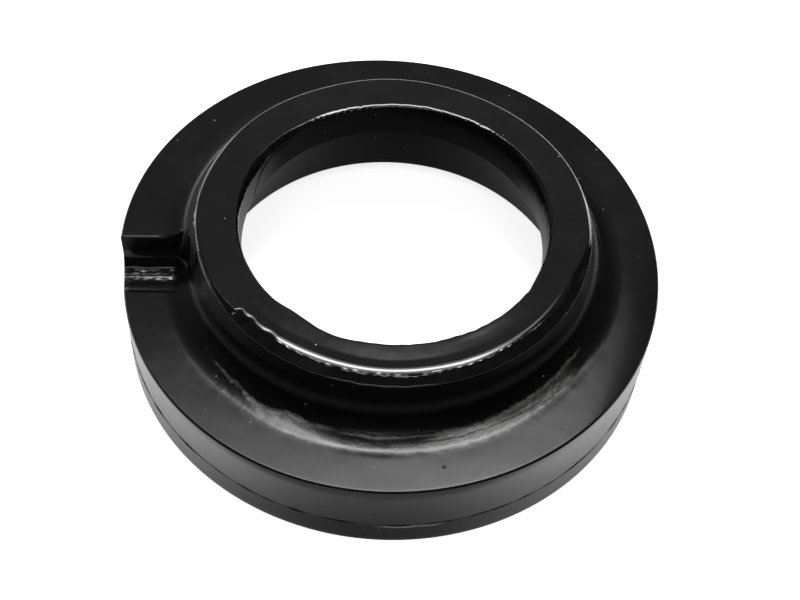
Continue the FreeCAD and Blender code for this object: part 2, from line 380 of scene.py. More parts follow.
# %% Edge of the bore
EDGE_SWAYS = (
    (1.1, 35.0, 85.0),
    (0.35, 205.0, 35.0),
    (-0.75, 235.0, 11.0),
    (0.3, 253.0, 10.0),
    (0.45, 318.0, 28.0),
    (0.25, 330.0, 5.0),
)
EDGE_DEPTHS = (
    (1.1, 160.0, 9.0),
    (0.6, 138.0, 5.0),
    (0.6, 180.0, 22.0),
    (0.9, 165.0, 45.0),
    (0.5, 15.0, 50.0),
)


def bore_edge(turn):
    """Radius of the top of the bore's wall: the bore's own, plus sways and ripples."""
    edge = BORE_RADIUS + 0.05 + humps(turn, EDGE_SWAYS) + 0.035 * ripple(turn, 8, 30, 23)
    return edge + 0.06 * about(turn, 290.0, 90.0) * ripple(turn, 30, 80, 25)


def edge_width(turn):
    """Width of the edge: wider behind, where it is rounded, and on both sides, where it tore."""
    width = 0.80 + humps(turn, ((0.8, 152.0, 34.0), (0.3, 15.0, 50.0)))
    return width + 0.55 * within(turn, 48.0, 130.0, 9.0)


def edge_depth(turn):
    """Depth of the edge, ragged behind and more so where it tore on the left."""
    depth = 0.75 + humps(turn, EDGE_DEPTHS)
    behind = about(turn, 70.0, 150.0)
    depth = depth + behind * (0.16 * ripple(turn, 12, 60, 21) + 0.10 * ripple(turn, 70, 200, 22))
    depth = depth + 0.24 * about(turn, 160.0, 45.0) * ripple(turn, 25, 110, 27)
    return np.clip(depth, 0.3, 2.9)


def edge_climb(share, turn):
    """Share of the depth climbed at a share of the width.

    A quarter ellipse, sqrt(1 - (1 - share)^2), where the edge is round, and
    share^0.75, nearly a chamfer, where it tore on both sides.
    """
    torn = np.clip(about(turn, 160.0, 60.0) + about(turn, 8.0, 55.0), 0.0, 1.0) ** 0.5
    return np.sqrt(1 - (1 - share) ** 2) * (1 - torn) + share**0.75 * torn


print("edge depth at 0, 90, 180 and 270 degrees:", np.round(edge_depth(quarters), 2))

# %% [markdown]
# ## The poured top as one sheet
#
# The bore's wall, its edge, the face and the rim are one surface on the real
# ring. Several rings could be joined, but then a crack or a hard line may show
# between them. So the rows of all parts are put end to end into one sheet. The
# bore's wall gets a dull gloss, the face the full one, and the rim's underside,
# which faces the collar, a low one.

# %% Poured top
COLUMNS = 1200
BORE_GLOSS = -1.33
UNDERSIDE_GLOSS = 0.3


def poured_top():
    """The bore's upper wall, its edge, the poured face, the rim and its underside."""
    turn = np.linspace(0.0, 360.0, COLUMNS, endpoint=False)[:, None]
    edge = bore_edge(turn)
    width = edge_width(turn)
    start = edge + width
    wall_top = FACE_HEIGHT - edge_depth(turn)

    up = runs((0.0, 0.7, 4), (0.7, 0.98, 5), (0.98, 1.0, 1))[None, :]
    wall_radius = BORE_RADIUS + (edge - BORE_RADIUS) * up**4
    wall = sheet_points(turn, wall_radius, BORE_FOOT + (wall_top - BORE_FOOT) * up)

    share = runs((0.02, 0.2, 3), (0.2, 1.0, 6))[None, :]
    edge_height = wall_top + (face_height(start, turn) - wall_top) * edge_climb(share, turn)
    edge_sheet = sheet_points(turn, edge + width * share, edge_height)

    # Rows lie close together beside the edge, on the crest and at the rim
    across = runs((0.0, 0.12, 1), (0.12, 4.4, 9), (4.4, 7.0, 8), (7.0, 9.6, 23), (9.6, FACE_WIDTH, 9))
    finish = rim_line(turn) - 0.15
    face_radius = start + (finish - start) * across[None, 1:] / FACE_WIDTH
    face = sheet_points(turn, face_radius, face_height(face_radius, turn))

    bend = np.radians(runs((20.0, 180.0, 7)))[None, :]
    rim_radii = rim_line(turn) - 0.2 + 0.2 * np.sin(bend)
    rim = sheet_points(turn, rim_radii, face_height(finish, turn) - 0.24 + 0.24 * np.cos(bend))
    under = sheet_points(turn, collar_top_radius(turn) - 0.02, COLLAR_TOP - 0.05)

    points = np.concatenate([wall, edge_sheet, face, rim, under], 1)
    gloss = np.ones(points.shape[1])
    gloss[:wall.shape[1]] = BORE_GLOSS
    gloss[-2:] = UNDERSIDE_GLOSS
    return make_piece("poured_top", [(points, gloss[None, :], 0.0)], True)


top_piece = poured_top()

# %% [markdown]
# ## The spring seat
#
# Round the collar runs the seat, which climbs `SEAT_RISE` in one turn. Its
# section is the collar's wall, a quarter circle that the wire lies in, the flat
# and a small chamfer at the outer edge. A screw modifier could sweep that
# section, but it would leave it the same all round. The real one changes: where
# two parts of the mould met, a ragged line runs along the quarter circle, and
# outside it the surface has sunk.

# %% Lines of the seat
def seat_height(turn):
    """Height of the flat part of the seat: it climbs evenly from the step."""
    return SEAT_LOW + SEAT_RISE * (turn - STEP_ANGLE) / 360.0


def bulge(turn, height):
    """How far the outer wall stands out on the right, more at the top than at the foot."""
    return 0.33 * about(turn, 340.0, 60.0) * ease((height - 1.0) / 14.0)


def drafted_radius(height):
    """Radius of the outer wall, which leans out evenly from the seat's top down to the seam."""
    return OUTER_RADIUS + (SEAM_RADIUS - OUTER_RADIUS) * (SEAT_TOP - height) / (SEAT_TOP - SEAM_HEIGHT)


def seam_line(turn):
    """Radius of the ragged line in the hollow."""
    line = 59.3 + 0.9 * hump((turn - 238.0) / 8.0) - 0.7 * hump((turn - 247.0) / 7.0)
    return line + 0.10 * ripple(turn, 9, 60, 31) + 0.06 * ripple(turn, 70, 200, 32)


def second_line(turn):
    """Radius of the fainter line outside it, on the front right."""
    line = 61.1 + 0.02 * (turn - 282.0)
    return line + 0.12 * ripple(turn, 9, 60, 35) + 0.08 * ripple(turn, 70, 200, 36)


print("ragged line at 0, 90, 180 and 270 degrees:", np.round(seam_line(quarters), 2))

# %% [markdown]
# ## Mould powder and painted sheen
#
# Powder from the mould clings in front, thickest just outside the ragged lines.
# It could be painted as an image, but that would need an unwrapped surface. A
# share at each point, worked out from the same lines, lies exactly along them,
# and the material breaks it up into flecks. The same grey also lies in a wide
# band on the left and thinly out in the trough. There it is partly powder and
# partly painted highlight, standing in for some of the trough's shine.

# %% Mould powder and painted sheen
def powder(radius, turn):
    """Share of mould powder: thick along both lines; on the left and out in the trough partly painted
    highlight.
    """
    angle = np.radians(turn)
    ragged = 0.5 * crumple(radius * np.cos(angle), radius * np.sin(angle), 9.0, 1.0, 37)
    past = radius - seam_line(turn)
    past_second = radius - second_line(turn)
    # On the left, a wide band of grey outside the line: partly powder, partly painted highlight of the
    # trough.
    wide = 0.6 + 1.3 * ease((turn - 224.0) / 22.0)
    left = ease((past + 0.2) / 0.3) * ease((wide + ragged - past) / wide)
    left = 0.85 * within(turn, 214.0, 262.0, 12.0) * left
    line = 0.7 * hump((past - 0.15) / (0.45 + 0.2 * ragged))
    on_right = within(turn, 279.0, 328.0, 9.0)
    right = 0.75 * on_right * hump((past_second - 0.2) / (1.1 + 0.4 * ragged))
    between = 0.35 * on_right * ease(past / 0.4) * ease(-past_second / 0.4)
    # Thin grey out in the trough, on the radius of its highlight: partly powder, partly painted
    # highlight.
    trough = 0.45 * within(turn, 228.0, 318.0, 18.0) * hump((radius - 62.4 - 0.5 * ragged) / 2.2)
    in_front = within(turn, 218.0, 333.0, 9.0)
    return np.clip(in_front * (line + left + right + between + trough), 0.0, 1.0)


print("powder just outside the line at 270 degrees:", powder(np.array([59.6]), np.array([270.0])))

# %% [markdown]
# ## The plain section
#
# First the section as it was designed, which the solid has too. One number runs
# along it from 0 to 4, a whole number at each corner, so that a run of places
# can put as many points on each part as that part needs.

# %% Plain section of the seat
def plain_section(turn, places):
    """Radius and height of the seat without the marks of casting, place by place.

    Places 0 to 1 are the collar's wall, 1 to 2 the quarter circle, 2 to 3 the
    flat and 3 to 4 the chamfer of the outer edge.
    """
    seat = seat_height(turn)
    start = np.arcsin(np.clip((seat + HOLLOW_RADIUS - COLLAR_TOP) / HOLLOW_RADIUS, 0.0, 1.0))
    wall_foot = np.minimum(seat + HOLLOW_RADIUS, COLLAR_TOP)
    along = np.clip(places, 0.0, 1.0)
    bend = start + (np.pi / 2 - start) * np.clip(places - 1.0, 0.0, 1.0)
    out = np.clip(places - 2.0, 0.0, 1.0)
    over = np.clip(places - 3.0, 0.0, 1.0)
    hollow_radius = HOLLOW_END - HOLLOW_RADIUS * np.cos(bend)
    hollow_height = seat + HOLLOW_RADIUS * (1 - np.sin(bend))
    flat_end = OUTER_RADIUS - EDGE_CHAMFER + bulge(turn, seat)
    wall_radius = COLLAR_RADIUS + (hollow_radius - COLLAR_RADIUS) * along
    radius = np.where(places <= 1, wall_radius, hollow_radius)
    height = np.where(places <= 1, COLLAR_TOP + (wall_foot - COLLAR_TOP) * along, hollow_height)
    radius = np.where(places > 2, HOLLOW_END + (flat_end - HOLLOW_END) * out, radius)
    height = np.where(places > 2, seat, height)
    radius = np.where(places > 3, flat_end + EDGE_CHAMFER * over, radius)
    height = np.where(places > 3, seat - 1.3 * EDGE_CHAMFER * over, height)
    return radius, height


seat_radius, seat_z = plain_section(np.array([[270.0]]), np.array([[0.0, 1.0, 2.0, 3.0, 4.0]]))
print("section at 270 degrees:", np.round(seat_radius, 2), np.round(seat_z, 2))

# %% [markdown]
# ## The marks of casting
#
# Then what the casting did to it. Inside each ragged line the rubber stands
# proud by up to a tenth of a millimetre. Outside it the hollow has sunk, and on the
# right the seat's outer part hangs low. Sculpting would do, but as lengths added
# to the section each mark can be set by itself.

# %% Marks of casting on the seat
def proud_step(radius, turn, outside):
    """How far the surface inside each ragged line stands proud of what is outside it."""
    proud = 0.10 * within(turn, 208.0, 331.0, 6.0) + 0.05 * within(turn, 331.0, 470.0, 6.0)
    proud = proud * (1.0 - outside) * ease((radius - 55.5) / 2.0)
    second = 0.06 * within(turn, 277.0, 330.0, 6.0) * ease((second_line(turn) - radius) / 0.25 + 0.5)
    return proud + second * ease((radius - 57.5) / 2.0)


def chord_deficit(radius):
    """How far a straight slope of 0.16, rounded into the flat, lies below the hollow."""
    inward = 63.4 - radius
    chord = 0.08 * (inward + np.sqrt(inward**2 + 0.36))
    hollow = np.clip(HOLLOW_END - radius, 0.0, None) ** 2 / (2 * HOLLOW_RADIUS)
    return np.clip(hollow - chord, 0.0, None)


def sinking(radius, turn, outside):
    """How far the hollow has sunk: to a straight slope at two places, and a little between."""
    straight = np.clip(about(turn, 243.0, 30.0) + about(turn, 293.0, 26.0), 0.0, 1.0)
    sunk = 0.28 * within(turn, 220.0, 340.0, 16.0) * (1.0 - straight) * ease((65.4 - radius) / 3.4)
    at_line = np.clip(chord_deficit(seam_line(turn)) - 0.3, 0.0, None)
    inner = at_line * ease((radius - seam_line(turn) + 3.0) / 3.0) * (1.0 - outside)
    return sunk * outside + straight * (chord_deficit(radius) * outside + inner)


def droop(radius, turn):
    """How far the seat's outer part hangs low on the right."""
    low = 0.20 * about(turn, 344.0, 56.0) * ease((radius - 55.0) / 16.0)
    return low + 0.60 * about(turn, 342.0, 44.0) * np.clip((radius - 66.0) / 9.0, 0.0, 1.0) ** 2


def unevenness(radius, turn, outside):
    """Slow waves along the trough, and fine mottling where the powder lay thick in the mould."""
    slow = 0.035 * ripple(turn, 3, 11, 33) + 0.012 * ripple(turn, 20, 50, 34)
    mottled = within(turn, 214.0, 334.0, 14.0) * outside * hump((radius - 62.5) / 5.0)
    angle = np.radians(turn)
    fine = 0.010 * mottled * crumple(radius * np.cos(angle), radius * np.sin(angle), 7.0, 1.8, 38)
    return slow * hump((radius - 63.6) / 5.0) + fine


def seat_sheet(turn, places):
    """Radius and height of the seat: the plain section with the marks of casting."""
    radius, height = plain_section(turn, places)
    on_hollow = np.where((places > 1) & (places < 2.1), 1.0, 0.0)
    outside = ease((radius - seam_line(turn)) / 0.28 + 0.5)
    step = proud_step(radius, turn, outside) * on_hollow
    lean = np.arccos(np.clip((HOLLOW_END - radius) / HOLLOW_RADIUS, 0.0, 1.0))
    radius = radius + step * np.cos(lean)
    height = height + step * np.sin(lean) + unevenness(radius, turn, outside)
    height = height - sinking(radius, turn, outside) * on_hollow - droop(radius, turn)
    return radius, height


seat_radius, seat_z = seat_sheet(np.array([[270.0]]), np.array([[0.0, 1.0, 2.0, 3.0, 4.0]]))
print("cast section at 270 degrees:", np.round(seat_radius, 2), np.round(seat_z, 2))

# %% [markdown]
# ## The stop pocket
#
# The wire's cut end lies in a round-nosed slot at the foot of the step. It could
# be cut with a boolean, but that leaves long thin triangles that shade badly. As
# heights over the same sheet it stays smooth. With `away` the distance from the
# step's face and `reach` the distance along it, the slot's floor is
# `centre - sqrt(r^2 - (away - r)^2)`, then a straight run-in at 35 degrees, and
# the nose is a ball of the same radius. The slot's floor came off a crumpled
# liner, which shows as bright streaks. Between the nose and the collar the high
# end's hollow goes on for a few degrees past the step.

# %% Floor of the stop pocket
STOP_CENTRE = STOP_FLOOR + STOP_RADIUS
RUN_IN_START = STOP_RADIUS * (1 + math.sin(math.radians(RUN_IN_ANGLE)))
RUN_IN_FOOT = STOP_CENTRE - STOP_RADIUS * math.cos(math.radians(RUN_IN_ANGLE))
LINER_END = 59.9


def liner_marks(reach, away):
    """Ridges along the slot where the liner was creased, and its fine crumpling."""
    on_liner = ease((reach - LINER_END) / 0.25) * ease((away - 0.6) / 2.4) * ease((8.0 - away) / 1.5)
    wave = np.sin(2 * np.pi * (away - 3.0) / 2.7 + 0.35 * crumple(reach, away, 9.0, 3.0, 52))
    ridges = 0.13 * wave * ease((5.6 - away) / 1.6)
    return on_liner * (ridges + 0.022 * crumple(reach, 1.6 * away, 5.0, 1.4, 51))


def pocket_height(radius, turn):
    """Height of the pocket's floor, which rises steeply all round it."""
    angle = np.radians(turn - STEP_ANGLE)
    reach = radius * np.cos(angle)
    away = radius * np.sin(angle)
    round_floor = STOP_CENTRE - np.sqrt(np.clip(STOP_RADIUS**2 - (away - STOP_RADIUS) ** 2, 0.0, None))
    run_in = RUN_IN_FOOT + (away - RUN_IN_START) * math.tan(math.radians(RUN_IN_ANGLE))
    slot = np.where(away > RUN_IN_START, run_in, round_floor) + liner_marks(reach, away)
    from_centre = np.hypot(reach - STOP_REACH, away - STOP_RADIUS)
    steep = np.clip(from_centre - STOP_RADIUS, 0.0, None) * 24.0
    ball = STOP_CENTRE - np.sqrt(np.clip(STOP_RADIUS**2 - from_centre**2, 0.0, None)) + steep
    inward = np.clip(STOP_REACH - reach, 0.0, None)
    past_end = 0.14 * inward**2 + 3.0 * np.clip(inward - 2.0, 0.0, None)
    return np.minimum(slot + past_end, ball)


print("pocket's floor at radius 68, 188 degrees:", pocket_height(np.array([68.0]), np.array([188.0])))

# %% [markdown]
# ## The root of the step
#
# Between the pocket and the collar the high end's hollow runs on past the step
# and fades out. The greater of two heights fills it in, and the lower of two,
# softly blended, cuts the pocket, which gives its edge the small round of a
# casting without a bevel. Close to the step's face the pocket's floor always
# holds, so the seat is taken there as higher than anything.

# %% Root of the step, with the pocket cut from it
POCKET_INNER_RADIUS = 54.3
POCKET_SOFTNESS = 0.7
ABOVE_ALL = 99.0


def blend_low(a, b, soft):
    """The lower of two heights, with a round of that softness where they cross."""
    share = np.clip(0.5 + 0.5 * (b - a) / soft, 0.0, 1.0)
    return b + (a - b) * share - soft * share * (1 - share)


def root_height(radius, turn):
    """Height of the step's root: the high end's hollow, which falls off away from the step.

    Past a shelf, whose width is 0.74 times the hollow's height over the seat,
    it falls 3:1, and beyond STOP_ROOT_ANGLE it drops away.
    """
    inward = np.clip(HOLLOW_END - radius, 0.0, HOLLOW_RADIUS)
    high = SEAT_TOP + HOLLOW_RADIUS - np.sqrt(HOLLOW_RADIUS**2 - inward**2)
    shelf = 0.74 * np.clip(high - SEAT_TOP, 0.0, None)
    away = radius * np.sin(np.radians(turn - STEP_ANGLE))
    high = high - 3.0 * np.clip(away - shelf, 0.0, None)
    past_root = np.clip(turn - STEP_ANGLE - STOP_ROOT_ANGLE, 0.0, None)
    return np.where(radius < HOLLOW_END, np.minimum(high, COLLAR_TOP) - 18.0 * past_root, 0.0)


def carved(radius, height, turn):
    """The seat with the root of the step filled and the pocket cut from it."""
    angle = np.radians(turn - STEP_ANGLE)
    filled = np.maximum(height, root_height(radius, turn))
    at_step = (radius > HOLLOW_END - 0.1) & (radius * np.sin(angle) < 0.5 * STOP_RADIUS)
    cut = blend_low(np.where(at_step, ABOVE_ALL, filled), pocket_height(radius, turn), POCKET_SOFTNESS)
    beside_step = angle < 0.5  # radians
    return np.where(beside_step, np.where(radius > POCKET_INNER_RADIUS, cut, filled), height)


print("root at radius 56, 186 degrees:", root_height(np.array([56.0]), np.array([186.0])))

# %% [markdown]
# ## The seat as two sheets
#
# The pocket needs a point about every tenth of a millimetre, and the rest of the
# seat doesn't. One fine sheet for all of it would be far too heavy. So a fine sheet
# covers the pocket and the step's face, and a coarser one goes on from there
# round to the top of the step, whose edge is rounded by the last few columns.

# %% Outer wall and gloss
PATCH_END = 201.0
TOP_END = STEP_ANGLE + 360.0
OUTSIDE_GLOSS = -0.65


def outer_wall(turn, top_height, rows):
    """The outer wall from the edge of the seat down to the skirt, with its draft."""
    down = runs((0.0, 0.015, 1), (0.015, 1.0, rows))[None, 1:]
    height = top_height + (SKIRT_TOP - top_height) * down
    return drafted_radius(height) + bulge(turn, height), height


def seat_with_wall(turn, places, wall_rows, step_round):
    """Radius and height from the collar's top to the skirt, with pocket and step edge."""
    radius, height = seat_sheet(turn, places)
    height = carved(radius, height, turn)
    if step_round:
        before = np.radians(TOP_END - turn) * radius
        inner = np.clip(1.0 - before / EDGE_ROUND, 0.0, 1.0)
        drop = EDGE_ROUND * (1.0 - np.sqrt(1.0 - inner**2))
        height = height - drop * ease((radius - STOP_REACH + 1.0) / 2.0)
    wall_radius, wall_height = outer_wall(turn, height[:, -1:], wall_rows)
    return np.concatenate([radius, wall_radius], 1), np.concatenate([height, wall_height], 1)


def dullness(turn, places, rows):
    """Gloss of the seat: -1 on the collar's wall and the hollow's upper half, then 0.

    On the right the rest is a little duller, down to -0.3, and the outer wall
    has OUTSIDE_GLOSS.
    """
    high = ease((1.6 - places) / 0.3)
    seat = -high - 0.3 * about(turn, 350.0, 55.0) * (1.0 - high)
    outside = np.full((len(turn), rows - places.shape[1]), OUTSIDE_GLOSS)
    return np.concatenate([seat, outside], 1)


print("outer wall's radius at 20 mm:", round(float(drafted_radius(20.0)), 3))

# %% [markdown]
# ## The long way round
#
# The coarser sheet. Its places lie close together where the ragged lines run, and
# its last twelve columns round the top edge of the step. A bevel there would have to
# follow a curved edge that fades out at the collar.

# %% Seat, from the end of the pocket round to the top of the step
EDGE_PLACES = (2.98, 3.05, 2), (3.05, 3.95, 2), (3.95, 4.0, 1)


def spring_seat():
    """The seat from the end of the pocket round to the top of the step."""
    turn = runs((PATCH_END, TOP_END - 0.6, 1150), (TOP_END - 0.6, TOP_END, 12))[:, None]
    hollow = (1.0, 1.5, 10), (1.5, 1.92, 32), (1.92, 2.0, 3)
    places = runs((0.0, 1.0, 3), *hollow, (2.0, 2.98, 14), *EDGE_PLACES)[None, :]
    radius, height = seat_with_wall(turn, places, 5, True)
    gloss = dullness(turn, places, radius.shape[1])
    # The third value is the grey share: powder, and in the trough partly painted highlight.
    sheet = sheet_points(turn, radius, height), gloss, powder(radius, turn)
    return make_piece("spring_seat", [sheet], False)


seat_piece = spring_seat()

# %% [markdown]
# ## The pocket and the step
#
# The fine sheet, with the step's face as a second sheet welded to it. The face
# could be one flat polygon, but its outline is curved above and below. Sheet
# rows that run down from the high section to the low one fit both.

# %% Stop pocket and the step's face
STEP_GLOSS = -1.0


def stop_pocket():
    """The pocket, and the step's face from the high end of the seat down to the low one.

    Each point of the face goes straight down in height and eases in radius.
    """
    turn = runs((STEP_ANGLE, PATCH_END, 260))[:, None]
    places = runs((0.0, 1.0, 5), (1.0, 2.0, 130), (2.0, 2.98, 80), *EDGE_PLACES)[None, :]
    radius, height = seat_with_wall(turn, places, 7, False)
    high_radius, high_height = seat_sheet(np.array([[TOP_END]]), places)
    high_height = high_height - EDGE_ROUND * ease((high_radius - STOP_REACH + 1.0) / 2.0)
    low_radius = radius[:1, :places.shape[1]]
    low_height = height[:1, :places.shape[1]]
    down = np.linspace(0.0, 1.0, 40)[:, None]
    step_radius = high_radius + (low_radius - high_radius) * down
    step_height = high_height + (np.minimum(low_height, high_height) - high_height) * down
    seat = sheet_points(turn, radius, height), dullness(turn, places, radius.shape[1]), 0.0
    face = sheet_points(STEP_ANGLE, step_radius, step_height), STEP_GLOSS, 0.0
    return make_piece("stop_pocket", [seat, face], False)


pocket_piece = stop_pocket()

# %% [markdown]
# ## The skirt
#
# The two halves of the mould met on the outer wall, which left a fine fin.
# Below it the wall flares to the foot, and the section comes back under the
# foot and up the cone to the bore. All of it is one profile carried round the
# bore, because only the fin changes with the angle.

# %% Skirt, foot and cone
CONE_GLOSS = -1.5
CONE_LOW_RADIUS = 52.5
CONE_LOW_HEIGHT = 8.2
UNDER_FOOT = (74.0, 0.0), (68.0, 0.0), (MOUTH_RADIUS, 0.0)
MOUTH = (59.9, 0.25), (53.4, 6.7), (CONE_FOOT_RADIUS, MOUTH_HEIGHT), (CONE_LOW_RADIUS, CONE_LOW_HEIGHT)


def skirt_wall(turn):
    """The outer wall below SKIRT_TOP: the fin is a hump of 0.16 mm on the seam's height."""
    seam_top, seam_foot = SEAM_HEIGHT + 0.3, SEAM_HEIGHT - 0.3
    down = runs((SKIRT_TOP, seam_top, 3), (seam_top, seam_foot, 8), (seam_foot, FOOT_ROUND, 6))[None, :]
    above = drafted_radius(down)
    below = SEAM_RADIUS + (FOOT_RADIUS - SEAM_RADIUS) * (SEAM_HEIGHT - down) / SEAM_HEIGHT
    seam = SEAM_HEIGHT + 0.12 * ripple(turn, 3, 12, 41)
    fin = 0.16 * hump((down - seam) / 0.16) * (0.8 + 0.5 * ripple(turn, 12, 70, 42))
    radius = np.where(down > seam, above, below + 0.05) + np.clip(fin, 0.0, 0.22) + bulge(turn, down)
    return sheet_points(turn, np.minimum(radius, FOOT_RADIUS + 0.04), down)


def mould_skirt():
    """From the outer wall above the seam, round the foot and up inside to the bore."""
    turn = np.linspace(0.0, 360.0, COLUMNS, endpoint=False)[:, None]
    wall = skirt_wall(turn)
    bend = np.radians(runs((0.0, 90.0, 6)))[None, 1:]
    foot_radii = FOOT_RADIUS + 0.04 - FOOT_ROUND * (1 - np.cos(bend))
    foot = sheet_points(turn, foot_radii, FOOT_ROUND * (1 - np.sin(bend)))

    corner_radii, corner_heights = np.array(UNDER_FOOT + MOUTH).T
    rise = np.linspace(0.0, 1.0, 12)[1:]
    radii = np.append(corner_radii, CONE_LOW_RADIUS + (BORE_RADIUS - CONE_LOW_RADIUS) * rise)
    heights = np.append(corner_heights, CONE_LOW_HEIGHT + (BORE_FOOT - CONE_LOW_HEIGHT) * rise)
    inside = sheet_points(turn, radii[None, :], heights[None, :])

    points = np.concatenate([wall, foot, inside], 1)
    gloss = np.full(points.shape[1], OUTSIDE_GLOSS)
    gloss[-inside.shape[1]:] = CONE_GLOSS
    return make_piece("mould_skirt", [(points, gloss[None, :], 0.0)], True)


skirt_piece = mould_skirt()

# %% [markdown]
# ## A hair on the bore
#
# The mould's core had a scratch, and the rubber that ran into it stands on the
# bore's wall as a dark hair. A thin tube gives it a real edge from every side,
# which a line in a texture would not.

# %% Flash line on the bore's wall
HAIR_RADIUS = 0.12


def bore_hair():
    """A tube of radius HAIR_RADIUS along z = 40.35 - 7 t^3 with t = (turn - 143) / 19.7."""
    turn = np.linspace(137.0, 162.7, 80)[None, :]
    t = np.clip((turn - 143.0) / 19.7, 0.0, None)
    height = 40.35 - 7.0 * t**3 + 0.05 * ripple(turn, 40, 90, 43)
    round_it = np.radians(np.arange(0.0, -360.0, -60.0))[:, None]
    taper = HAIR_RADIUS * (0.5 + 0.5 * np.sin(np.pi * np.linspace(0.02, 0.98, 80)))[None, :]
    radius = BORE_RADIUS - 0.02 + taper * np.cos(round_it)
    tube = sheet_points(turn, radius, height + taper * np.sin(round_it))
    return make_piece("bore_hair", [(tube, CONE_GLOSS, 0.0)], True)


hair_piece = bore_hair()
pieces = [top_piece, seat_piece, pocket_piece, skirt_piece, hair_piece]

# %% [markdown]
# ## Skin of the rubber
#
# One rubber, but a different skin wherever the mould was different. Several
# materials would meet in hard lines, so here is one, led by the gloss at each
# point: the mirror of the poured face, which only sways slowly, the satin of the
# mould side with a fine grain and a thin film of release agent, and duller
# rubber further in. The node group returns a colour, a roughness and a normal.
# It reads Object coordinates, so the pattern is fixed to the ring.

# %% Shader helpers
def add_node(tree, kind, **settings):
    """A node with its properties and input values set by name."""
    node = tree.nodes.new(kind)
    for key, value in settings.items():
        if hasattr(node, key):
            setattr(node, key, value)
        else:
            node.inputs[key.replace("_", " ")].default_value = value
    return node


def maths(tree, operation, a, b=None):
    """A Math node on sockets or plain numbers, and its result."""
    node = tree.nodes.new("ShaderNodeMath")
    node.operation = operation
    for socket, value in zip(node.inputs, (a, b)):
        if isinstance(value, (int, float)):
            socket.default_value = value
        elif value is not None:
            tree.links.new(value, socket)
    return node.outputs[0]


def times(tree, *values):
    """The product of sockets and plain numbers."""
    result = values[0]
    for value in values[1:]:
        result = maths(tree, "MULTIPLY", result, value)
    return result


def ramp(tree, value, low, high, to_low=0.0, to_high=1.0):
    """The value carried smoothly from low..high to to_low..to_high."""
    node = tree.nodes.new("ShaderNodeMapRange")
    node.interpolation_type = "SMOOTHSTEP"
    tree.links.new(value, node.inputs["Value"])
    node.inputs["From Min"].default_value = low
    node.inputs["From Max"].default_value = high
    node.inputs["To Min"].default_value = to_low
    node.inputs["To Max"].default_value = to_high
    return node.outputs["Result"]


def noise(tree, vector, scale, detail, roughness=0.5):
    """A Noise Texture's value on the given vector."""
    node = add_node(tree, "ShaderNodeTexNoise", Scale=scale, Detail=detail, Roughness=roughness)
    tree.links.new(vector, node.inputs["Vector"])
    return node.outputs["Fac"]


print("shader helpers:", ", ".join(f.__name__ for f in (add_node, maths, times, ramp, noise)))

# %% [markdown]
# ## Masks of the skin
#
# Four things mark the rubber: a thin film of release agent, mould powder, specks
# of dust, and the mouths of burst bubbles. The powder's share also carries painted
# highlight out in the trough. Painted masks would blur when seen close. Noise and
# Voronoi patterns stay sharp, and each mask can feed the colour, the roughness
# and the bump at once.

# %% Masks of the skin
def film_mask(tree, place, grain, gloss):
    """Release agent: broad cloudy patches, broken up by the grain, and none where it is dull."""
    cloud = ramp(tree, noise(tree, place, 55.0, 4.0, 0.6), 0.35, 0.75)
    return times(tree, cloud, ramp(tree, grain, 0.3, 0.8), ramp(tree, gloss, -0.7, 0.0))


def chalk_and_sheen_mask(tree, place, share):
    """Mould powder and painted sheen in fine streaks round the bore: noise on the radius and a share of
    the angle.
    """
    parts = tree.nodes.new("ShaderNodeSeparateXYZ")
    tree.links.new(place, parts.inputs[0])
    east, north = parts.outputs["X"], parts.outputs["Y"]
    squares = maths(tree, "ADD", times(tree, east, east), times(tree, north, north))
    streak = tree.nodes.new("ShaderNodeCombineXYZ")
    tree.links.new(maths(tree, "SQRT", squares), streak.inputs[0])
    tree.links.new(times(tree, maths(tree, "ARCTAN2", north, east), 0.014), streak.inputs[1])
    flecks = noise(tree, streak.outputs[0], 2200.0, 3.0, 0.75)
    patches = noise(tree, streak.outputs[0], 420.0, 2.0, 0.6)
    patches = ramp(tree, patches, 0.25, 0.7, 0.35, 1.25)
    return times(tree, share, patches, ramp(tree, flecks, 0.3, 0.72, 0.25, 1.1))


def dots(tree, place, scale, channel, threshold, inner, outer):
    """Small round dots, one in each Voronoi cell whose colour passes the threshold.

    A dot is whole up to the inner distance from the cell's point and gone at
    the outer one.
    """
    cell = add_node(tree, "ShaderNodeTexVoronoi", Scale=scale)
    tree.links.new(place, cell.inputs["Vector"])
    chosen = tree.nodes.new("ShaderNodeSeparateColor")
    tree.links.new(cell.outputs["Color"], chosen.inputs["Color"])
    chosen = maths(tree, "GREATER_THAN", chosen.outputs[channel], threshold)
    return times(tree, chosen, ramp(tree, cell.outputs["Distance"], inner, outer, 1.0, 0.0))


print("masks:", ", ".join(f.__name__ for f in (film_mask, chalk_and_sheen_mask, dots)))

# %% [markdown]
# ## The cast skin
#
# The node group mixes the masks by the gloss at each point. Three separate
# materials would do for one picture, but they would drift apart when a value is
# changed. Here black, the grey of powder and painted sheen, and each height are
# set once.

# %% Node group: cast skin
BLACK = (0.0030, 0.0029, 0.0028, 1.0)
# The grey of mould powder, dust and film, also used as painted highlight out in the trough.
POWDER_AND_SHEEN_GREY = (0.15, 0.147, 0.143, 1.0)


def skin_roughness(tree, gloss, film, chalk_and_sheen):
    """Satin, rougher with film, powder and painted sheen and where it is dull, mixed with the mirror by
    the gloss.
    """
    satin = maths(tree, "ADD", ramp(tree, gloss, -1.0, -0.7, 0.30, 0.18), times(tree, film, 0.10))
    satin = maths(tree, "ADD", satin, times(tree, chalk_and_sheen, 0.25))
    mirror = maths(tree, "ADD", 0.10, times(tree, film, 0.05))
    rough = tree.nodes.new("ShaderNodeMix")
    tree.links.new(gloss, rough.inputs["Factor"])
    tree.links.new(satin, rough.inputs[2])
    tree.links.new(mirror, rough.inputs[3])
    return rough.outputs[0]


